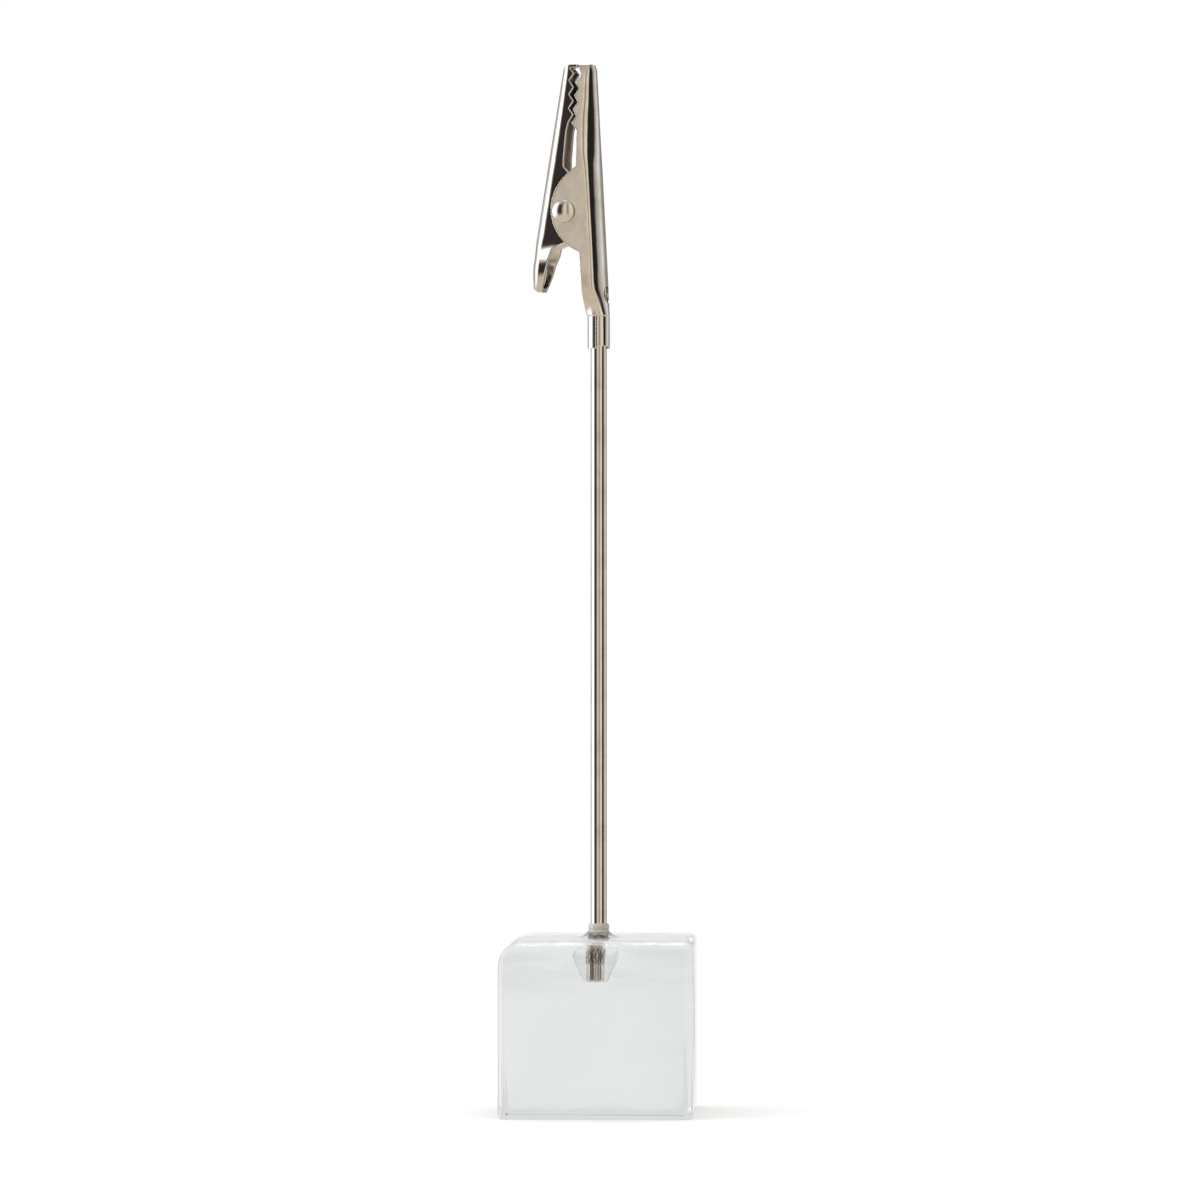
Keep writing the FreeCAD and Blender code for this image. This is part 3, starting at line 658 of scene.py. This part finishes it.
def side_view(corners):
    """Points of an outline in side view. A corner (x, z, radius, side) starts an arc, which
    bulges to the left (side 1) or the right (side -1) of the way to the next corner."""
    points = []
    for number, corner in enumerate(corners):
        start = Vector(corner[:2])
        points.append(start)
        if len(corner) == 4:
            chord = Vector(corners[(number + 1) % len(corners)][:2]) - start
            radius, side = corner[2:]
            across = Vector((-chord.y, chord.x)).normalized() * side
            centre = start + chord / 2 - across * math.sqrt(radius ** 2 - chord.length_squared / 4)
            sweep = 2 * math.asin(chord.length / 2 / radius) * -side
            steps = 28
            points += [centre + Matrix.Rotation(sweep * step / steps, 2) @ (start - centre)
                       for step in range(1, steps)]
    return points


def side_cutter(name, corners):
    """A slab wider than the clip, with an outline in side view, to cut a jaw with."""
    outline = side_view(corners)
    return solid_from(name, [[(x, y, z) for x, z in outline] for y in (-8, 8)])


def toothed_edge(x, z, lean, depth):
    """Corners of a jaw's edge in side view from its top tooth down, with a gap below each tooth."""
    corners = []
    for tooth in range(TEETH):
        corners.append((x - tooth * TOOTH_PITCH * tan(lean), z - tooth * TOOTH_PITCH))
        corners.append((x - (tooth + 1) * TOOTH_PITCH * tan(lean) + depth,
                        z - (tooth + 0.5) * TOOTH_PITCH))
    return corners


def drum(name, radius, low, high, place=(0, 0, 0), turn=None):
    """A cylinder in millimetres, to cut or join with; turn is a rotation."""
    sides = 96
    ring = [(radius * math.cos(math.tau * step / sides), radius * math.sin(math.tau * step / sides))
            for step in range(sides)]
    solid = solid_from(name, [[(x, y, z) for x, y in ring] for z in (low, high)])
    solid.data.transform(Matrix.Translation(place) @ (turn or Matrix()))
    return solid


def combine(piece, other, operation):
    """Apply a boolean with another mesh, which is then removed."""
    change = piece.modifiers.new("Cut", "BOOLEAN")
    change.object = other
    change.operation = operation
    change.solver = "EXACT"
    only(piece)
    bpy.ops.object.modifier_apply(modifier=change.name)
    only(other)
    bpy.ops.object.delete()


def finish_sheet(piece):
    """Put a piece of sheet on the rod, in metres, merge its doubles and shade it smooth."""
    piece.data.transform(CLIP_PLACE @ Matrix.Scale(MM, 4))
    only(piece)
    bpy.ops.object.mode_set(mode="EDIT")
    bpy.ops.mesh.select_all(action="SELECT")
    bpy.ops.mesh.remove_doubles(threshold=0.002 * MM)
    end_piece(piece, angle=30)


class HOLDER_OT_clip(bpy.types.Operator):
    """Model the two folded jaws, the sleeve and the spring, and plate them and the rivet"""

    bl_idname = "holder.clip"
    bl_label = "Clip"

    def execute(self, context):
        sheet = nickel_plate("Nickel plated steel sheet", roughness=0.07, lines_mm=0.1, dent_mm=0.03)
        fixed = self.fixed_jaw()
        dress(fixed, "stand", "clip_sheet", sheet, "fixed_jaw")
        sleeve = self.sleeve()
        dress(sleeve, "stand", "clip_sheet", sheet)
        moving = self.moving_jaw()
        dress(moving, "jaw", "clip_sheet", sheet, "moving_jaw")
        head = nickel_plate("Nickel plated rivet steel", roughness=0.1, lines_mm=0.3, dent_mm=0.02,
                            streak=(1, 1, 1))
        wire = nickel_plate("Drawn spring steel", roughness=0.3, lines_mm=0.05, dent_mm=0.0,
                            streak=(1, 1, 1))
        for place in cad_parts["rivet"].material_slots:
            place.material = head
        self.spring(wire)
        return {"FINISHED"}

    @staticmethod
    def spring(material):
        """The wound wire of the CAD, merged into one mesh."""
        spring = bpy.data.objects.new("wound_spring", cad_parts["jaw_spring"].data.copy())
        bpy.context.scene.collection.objects.link(spring)
        only(spring)
        bpy.ops.object.mode_set(mode="EDIT")
        bpy.ops.mesh.select_all(action="SELECT")
        bpy.ops.mesh.remove_doubles(threshold=0.001 * MM)
        end_piece(spring)
        spring.data.materials.clear()
        spring.data.materials.append(material)
        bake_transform(spring)
        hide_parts("jaw_spring")

    @staticmethod
    def fixed_jaw():
        """The right jaw: a tube's end at the foot, a neck with a cross hole, ears and a nose."""
        def back(height):
            """Where the jaw's back is at a height. It leans by 3 degrees."""
            return 1.2 - (height - 4.6) * tan(3)

        # The blank's cheeks reach past the jaw's outline, which cuts them
        wide = 7.0
        rows = [
            # height, back, half width, splay, corner, flat strip, mouth
            (0.5, 1.45, 1.025, -45, 1.45, 1.45, -1.45),
            (4.6, back(4.6), 2.72, 6, 0.9, 3.5, -2.4),
            (8.3, back(8.3), 2.64, 6, 0.75, 4.0, -wide),
            (14.0, back(14.0), 2.64, 6, 0.75, 4.0, -wide),
            (19.5, back(19.5), 2.64, 6, 1.0, 4.5, -wide),
            (22.0, back(22.0), 2.50, 6, 1.5, 6.0, -wide),
            (25.5, back(25.5), 2.17, 6, 1.5, 6.0, -wide),
            (28.5, back(28.5), 1.89, 6, 1.3, 4.0, -wide),
            (31.9, back(31.9), 1.58, 6, 1.1, 2.8, -wide),
            (32.3, back(32.3), 1.5, 6, 1.0, 2.4, -wide),
            (NOSE_Z, back(NOSE_Z) - 0.2, 1.05, 6, 0.6, 1.6, -wide),
        ]
        jaw = jaw_blank("fixed_jaw_sheet", rows, 1, 0.5, NOSE_Z)
        nose = back(NOSE_Z - 0.45)
        teeth = toothed_edge(-2.6, NOSE_Z - 2.3, 4.8, TOOTH_DEPTH)
        combine(jaw, side_cutter("outline", [
            (2.0, 0), (2.0, NOSE_Z - 0.45), (nose, NOSE_Z - 0.45, 0.64, -1), (nose - 0.45, NOSE_Z),
            (-2.38, NOSE_Z), (-2.38, NOSE_Z - 0.4), (-1.98, NOSE_Z - 1.1), (-2.0, NOSE_Z - 1.65),
        ] + teeth[:-1] + [
            (-2.35, 24.6), (-2.35, 19.9),
            (PIVOT_X + 0.59, PIVOT_Z + 5.03, 6.06, -1), (PIVOT_X + 2.01, PIVOT_Z - 5.31),
            (-1.58, 4.6), (-1.58, 0),
        ]), "INTERSECT")
        combine(jaw, jaw_blank("hollow", rows, 1, 0.49, NOSE_Z - SHEET, SHEET), "DIFFERENCE")
        combine(jaw, drum("bore", BORE, 0, 1.5), "DIFFERENCE")
        hole = drum("hole", 1.15, 0, 4, (0, 0, 3.3), Matrix.Rotation(math.pi / 2, 4, "Y"))
        combine(jaw, hole, "DIFFERENCE")
        finish_sheet(jaw)
        return jaw

    @staticmethod
    def sleeve():
        """The tube that grips the rod. Its seam is in front, and to the right of the seam its foot
        is a little higher."""
        sleeve = drum("clip_sleeve", BORE + SHEET, -3.76, 0.5)
        combine(sleeve, drum("bore", BORE, -5, 2), "DIFFERENCE")
        for name, left, right, front, behind, low, high in (
                ("seam", 0.05, 0.19, -2, -0.5, -5, 1),
                ("step", 0.05, 2, -2, 0, -5, -3.46)):
            cut = solid_from(name, [[(left, front, z), (right, front, z), (right, behind, z),
                                     (left, behind, z)] for z in (low, high)])
            combine(sleeve, cut, "DIFFERENCE")
        finish_sheet(sleeve)
        return sleeve

    @staticmethod
    def moving_jaw():
        """The left jaw: a spoon-shaped tail, a flare where it starts, lobes at the rivet and a nose."""
        def back(height):
            """How far left the jaw's back is at a height. It leans by 9.24 degrees."""
            return 3.86 - PIVOT_X - (height - PIVOT_Z) * tan(9.24)

        end = PIVOT_Z - 10.4
        tail_back = 8.77
        mouth = 1.28
        rows = [
            # height, back, half width, splay, corner, flat strip, mouth
            (end, tail_back - 0.1, 0.95, 6, 0.5, 0.8, mouth),
            (end + 0.9, tail_back - 0.02, 1.6, 1, 0.8, 1.3, mouth),
            (end + 2.8, tail_back, 2.15, 3, 1.0, 1.7, mouth),
            (end + 4.8, tail_back - 0.24, 1.95, 24, 1.1, 1.9, mouth),
            (PIVOT_Z - 3.9, back(PIVOT_Z - 3.9), 1.88, 6, 1.3, 2.6, mouth),
            (PIVOT_Z - 3.0, back(PIVOT_Z - 3.0), 1.88, 5, 1.45, 2.9, mouth),
            (PIVOT_Z + 5.88, back(PIVOT_Z + 5.88), 1.88, 5, 1.45, 2.9, mouth),
            (NOSE_Z - 1.25, back(NOSE_Z - 1.25), 1.45, 5, 1.05, 2.1, mouth),
            (NOSE_Z, back(NOSE_Z), 1.3, 5, 0.8, 1.8, mouth),
        ]
        jaw = jaw_blank("moving_jaw_sheet", rows, -1, end, NOSE_Z)
        tip = PIVOT_X + 0.93
        teeth = toothed_edge(tip, NOSE_Z - 1.2, 0, -TOOTH_DEPTH)
        lobe = 1.3
        lobe_x, lobe_z = lobe * math.cos(math.radians(25)), lobe * math.sin(math.radians(25))
        combine(jaw, side_cutter("outline", [
            (-tail_back - 0.8, end + 1.1), (-tail_back, end + 1.1, 1.3, -1),
            (-tail_back + 0.94, end), (-tail_back + 1.35, end),
            (PIVOT_X - 2.95, end + 1.9), (PIVOT_X - 2.5, end + 3.6), (PIVOT_X - 1.76, PIVOT_Z - 4.7),
            (PIVOT_X - 0.05, PIVOT_Z - 4.0),
            (PIVOT_X + lobe_x, PIVOT_Z - lobe_z, lobe, -1), (PIVOT_X + lobe_x, PIVOT_Z + lobe_z),
            (PIVOT_X + 0.42, PIVOT_Z + 5.03), (PIVOT_X - 0.32, PIVOT_Z + 5.88),
            (PIVOT_X - 0.32, PIVOT_Z + 6.78), (tip - 0.93, NOSE_Z - 8.76),
        ] + teeth[::-1] + [
            (PIVOT_X + 0.32, NOSE_Z - 0.4), (-2.5, NOSE_Z - 0.4), (-2.5, NOSE_Z),
            (-back(NOSE_Z) + 1.36, NOSE_Z, 1.5, -1), (-back(NOSE_Z - 1.5), NOSE_Z - 1.5),
            (-tail_back - 0.8, NOSE_Z - 1.5),
        ]), "INTERSECT")
        hollow_rows = [(end + 0.5,) + rows[0][1:]] + rows[1:-1]
        hollow_rows.append((NOSE_Z - SHEET, back(NOSE_Z - SHEET) - 0.78) + rows[-1][2:])
        hollow = jaw_blank("hollow", hollow_rows, -1, end + 0.5, NOSE_Z - SHEET, SHEET)
        combine(jaw, hollow, "DIFFERENCE")
        finish_sheet(jaw)
        return jaw


# Stage. The lamp is up on the left; the camera is level, and turned a little round the object

LAMP_PLACE = Vector((-0.55, -0.22, 0.6))
CAMERA_TURN = math.radians(2.5)
CAMERA_HEIGHT = 66.6 * MM
CAMERA_SHIFT = 0.16 * MM
CAMERA_AWAY = 0.87
ROOM_STRENGTH = 2.5


class HOLDER_OT_stage(bpy.types.Operator):
    """Set up the floor, the studio's surroundings, the lamp and the camera"""

    bl_idname = "holder.stage"
    bl_label = "Stage"

    def execute(self, context):
        only()
        bpy.ops.mesh.primitive_plane_add(size=1.2, location=(0, 0, -0.03 * MM))
        floor = bpy.context.object
        floor.name = "paper_floor"
        floor.data.materials.append(self.paper())
        floor.visible_glossy = False
        self.surroundings(context.scene)
        only()
        bpy.ops.object.light_add(type="AREA", location=LAMP_PLACE)
        lamp = bpy.context.object
        lamp.name = "soft_lamp"
        lamp.data.shape = "DISK"
        lamp.data.size = 0.4
        lamp.data.energy = 3.2
        lamp.visible_glossy = False
        lamp.rotation_euler = LAMP_PLACE.to_track_quat("Z", "Y").to_euler()
        right = Vector((math.cos(CAMERA_TURN), math.sin(CAMERA_TURN), 0))
        back = Vector((math.sin(CAMERA_TURN), -math.cos(CAMERA_TURN), 0))
        only()
        bpy.ops.object.camera_add(
            location=Vector((0, 0, CAMERA_HEIGHT)) + right * CAMERA_SHIFT + back * CAMERA_AWAY)
        camera = bpy.context.object
        camera.rotation_euler = back.to_track_quat("Z", "Y").to_euler()
        camera.data.lens = 200.8
        camera.data.sensor_width = 36
        camera.data.clip_start = 0.01
        context.scene.camera = camera
        context.scene.view_settings.view_transform = "Standard"
        return {"FINISHED"}

    @staticmethod
    def paper():
        """White paper: the camera sees it as the white background, darker only in shadow."""
        material, tree = new_material("White studio paper")
        colour = (*bpy.context.scene.holder_colours.floor, 1)
        place = node(tree, "ShaderNodeTexCoord").outputs["Object"]
        fibre = node(tree, "ShaderNodeTexNoise", values={"Scale": per_mm(1.5), "Detail": 3},
                     links={"Vector": place})
        rough = node(tree, "ShaderNodeBump", values={"Strength": 0.1, "Distance": 0.02 * MM},
                     links={"Height": fibre.outputs["Fac"]})
        ray = node(tree, "ShaderNodeLightPath")
        # A tilted normal lets the contact shadow fall to the right
        close = node(tree, "ShaderNodeAmbientOcclusion", {"samples": 8},
                     {"Distance": 26 * MM, "Normal": Vector((-0.6, 0.3, 0.74))})
        contact = node(tree, "ShaderNodeMapRange",
                       values={"From Min": 0.25, "From Max": 0.95, "To Min": 0.68, "To Max": 1.0},
                       links={"Value": close.outputs["AO"]})
        shade = node(tree, "ShaderNodeMath", {"operation": "MAXIMUM"},
                     links={0: contact.outputs["Result"], 1: ray.outputs["Is Transmission Ray"]})
        tint = node(tree, "ShaderNodeMix", {"data_type": "RGBA"}, {"A": (0, 0, 0, 1), "B": colour},
                    {"Factor": shade.outputs["Value"]})
        matt = node(tree, "ShaderNodeBsdfDiffuse",
                    links={"Color": tint.outputs["Result"], "Normal": rough.outputs["Normal"]})
        seen = node(tree, "ShaderNodeMath", {"operation": "MAXIMUM"},
                    links={0: ray.outputs["Is Camera Ray"], 1: ray.outputs["Is Transmission Ray"]})
        lift = node(tree, "ShaderNodeMath", {"operation": "MULTIPLY"}, {1: 0.5}, {0: seen.outputs["Value"]})
        glow = node(tree, "ShaderNodeEmission",
                    links={"Color": tint.outputs["Result"], "Strength": lift.outputs["Value"]})
        both = node(tree, "ShaderNodeAddShader",
                    links={0: matt.outputs["BSDF"], 1: glow.outputs["Emission"]})
        # The paper ends in front of the object: what the rod mirrors through the block is the room
        parts = node(tree, "ShaderNodeSeparateXYZ", links={"Vector": place})
        front = node(tree, "ShaderNodeMath", {"operation": "LESS_THAN"}, {1: -20 * MM},
                     {0: parts.outputs["Y"]})
        open_front = node(tree, "ShaderNodeMath", {"operation": "MULTIPLY"},
                          links={0: front.outputs["Value"], 1: ray.outputs["Is Transmission Ray"]})
        past = node(tree, "ShaderNodeBsdfTransparent")
        ended = node(tree, "ShaderNodeMixShader",
                     links={"Fac": open_front.outputs["Value"], 1: both.outputs["Shader"],
                            2: past.outputs["BSDF"]})
        node(tree, "ShaderNodeOutputMaterial", links={"Surface": ended.outputs["Shader"]})
        return material

    @staticmethod
    def surroundings(scene):
        """The studio round the object: a white sweep behind it, a soft box on the left, a dark
        card on the right, and the room in front. Angles are degrees to the right of the front."""
        room = [
            # angle, sRGB colour at the room's strength
            (-180, "#A9A9A9"), (-174, "#A9A9A9"), (-168, "#6C6B6A"), (-138, "#747372"),
            (-120, "#9C9B9A"), (-105, "#E6E6E6"), (-77, "#E6E6E6"),
            (-67, "#8E8B86"), (-57, "#3A3634"), (-50, "#242120"), (-34, "#1E1B1A"),
            (-26, "#766E64"), (-18, "#8B847A"), (-11, "#9F988D"), (-5, "#A39C92"), (1, "#878073"),
            (7, "#686155"), (13, "#686155"), (20, "#969085"), (38, "#A59E94"), (47, "#A59E94"),
            (51, "#151312"), (74, "#1A1716"), (79, "#6A6966"), (89, "#828180"), (100, "#929190"),
            (110, "#A6A5A4"), (118, "#989796"), (128, "#777674"), (140, "#605F5D"),
            (160, "#5C5B5A"), (173, "#A9A9A9"),
        ]
        world = bpy.data.worlds.new("Studio")
        scene.world = world
        world.use_nodes = True
        tree = world.node_tree
        tree.nodes.clear()
        way = node(tree, "ShaderNodeTexCoord").outputs["Generated"]
        parts = node(tree, "ShaderNodeSeparateXYZ", links={"Vector": way})
        front = node(tree, "ShaderNodeMath", {"operation": "MULTIPLY"}, {1: -1}, {0: parts.outputs["Y"]})
        angle = node(tree, "ShaderNodeMath", {"operation": "ARCTAN2"},
                     links={0: parts.outputs["X"], 1: front.outputs["Value"]})
        spot = node(tree, "ShaderNodeMapRange",
                    values={"From Min": -math.pi, "From Max": math.pi},
                    links={"Value": angle.outputs["Value"]})
        ramp = node(tree, "ShaderNodeValToRGB", links={"Fac": spot.outputs["Result"]})
        stops = ramp.color_ramp.elements
        while len(stops) > 1:
            stops.remove(stops[-1])
        for number, (degrees, colour) in enumerate(room):
            position = (degrees + 180) / 360
            stop = stops[0] if number == 0 else stops.new(position)
            stop.position = position
            stop.color = (*linear(colour), 1)
        # Overhead there is a plain grey ceiling, lower at the back, and the table is below
        colours = scene.holder_colours
        sky = ramp.outputs["Color"]
        low_back = node(tree, "ShaderNodeMath", {"operation": "MULTIPLY_ADD"}, {1: 0.3},
                        {0: parts.outputs["Y"], 2: parts.outputs["Z"]}).outputs["Value"]
        for level, start, end, colour in (
                (low_back, 0.45, 0.85, colours.ceiling),
                (parts.outputs["Z"], -0.15, -0.5, colours.table)):
            height = node(tree, "ShaderNodeMapRange",
                          values={"From Min": start, "From Max": end}, links={"Value": level})
            sky = node(tree, "ShaderNodeMix", {"data_type": "RGBA"}, {"B": (*colour, 1)},
                       {"Factor": height.outputs["Result"], "A": sky}).outputs["Result"]
        # A lamp overhead shows only as glints on what faces up
        ray = node(tree, "ShaderNodeLightPath")
        overhead = node(tree, "ShaderNodeMapRange",
                        values={"From Min": 0.98, "From Max": 1.03, "To Min": 0.0, "To Max": 18.0},
                        links={"Value": low_back})
        mirrored = node(tree, "ShaderNodeMath", {"operation": "SUBTRACT"},
                        links={0: ray.outputs["Is Glossy Ray"], 1: ray.outputs["Is Transmission Ray"]})
        strength = node(tree, "ShaderNodeMath", {"operation": "MULTIPLY_ADD"}, {2: ROOM_STRENGTH},
                        {0: overhead.outputs["Result"], 1: mirrored.outputs["Value"]})
        around = node(tree, "ShaderNodeBackground",
                      links={"Color": sky, "Strength": strength.outputs["Value"]})
        # The camera sees plain white, and so does what is seen through the block against the sweep
        white = node(tree, "ShaderNodeBackground", values={"Color": (1, 1, 1, 1), "Strength": 1.0})
        behind = node(tree, "ShaderNodeMapRange",
                      values={"From Min": -0.35, "From Max": 0.0}, links={"Value": parts.outputs["Y"]})
        through = node(tree, "ShaderNodeMath", {"operation": "MULTIPLY"},
                       links={0: ray.outputs["Is Transmission Ray"], 1: behind.outputs["Result"]})
        seen = node(tree, "ShaderNodeMath", {"operation": "MAXIMUM"},
                    links={0: ray.outputs["Is Camera Ray"], 1: through.outputs["Value"]})
        both = node(tree, "ShaderNodeMixShader",
                    links={"Fac": seen.outputs["Value"], 1: around.outputs["Background"],
                           2: white.outputs["Background"]})
        node(tree, "ShaderNodeOutputWorld", links={"Surface": both.outputs["Shader"]})


class HOLDER_PT_panel(bpy.types.Panel):
    """Lists what makes each piece, and the sizes and colours"""

    bl_label = "Photo holder"
    bl_idname = "HOLDER_PT_panel"
    bl_space_type = "VIEW_3D"
    bl_region_type = "UI"
    bl_category = "Photo holder"

    def draw(self, context):
        for maker in MAKERS:
            self.layout.operator(maker.bl_idname)
        for group in (context.scene.holder_sizes, context.scene.holder_colours):
            box = self.layout.box()
            for name in group.__annotations__:
                box.prop(group, name)


MAKERS = (HOLDER_OT_block, HOLDER_OT_potting, HOLDER_OT_rod, HOLDER_OT_clip, HOLDER_OT_stage)
CLASSES = (HolderSizes, HolderColours) + MAKERS + (HOLDER_PT_panel,)


def register():
    for cls in CLASSES:
        bpy.utils.register_class(cls)
    bpy.types.Scene.holder_sizes = PointerProperty(type=HolderSizes)
    bpy.types.Scene.holder_colours = PointerProperty(type=HolderColours)


def unregister():
    del bpy.types.Scene.holder_colours
    del bpy.types.Scene.holder_sizes
    for cls in reversed(CLASSES):
        bpy.utils.unregister_class(cls)


def main():
    register()
    bpy.ops.holder.block()
    bpy.ops.holder.potting()
    bpy.ops.holder.rod()
    bpy.ops.holder.clip()
    bpy.ops.holder.stage()


if __name__ == "__main__":
    main()
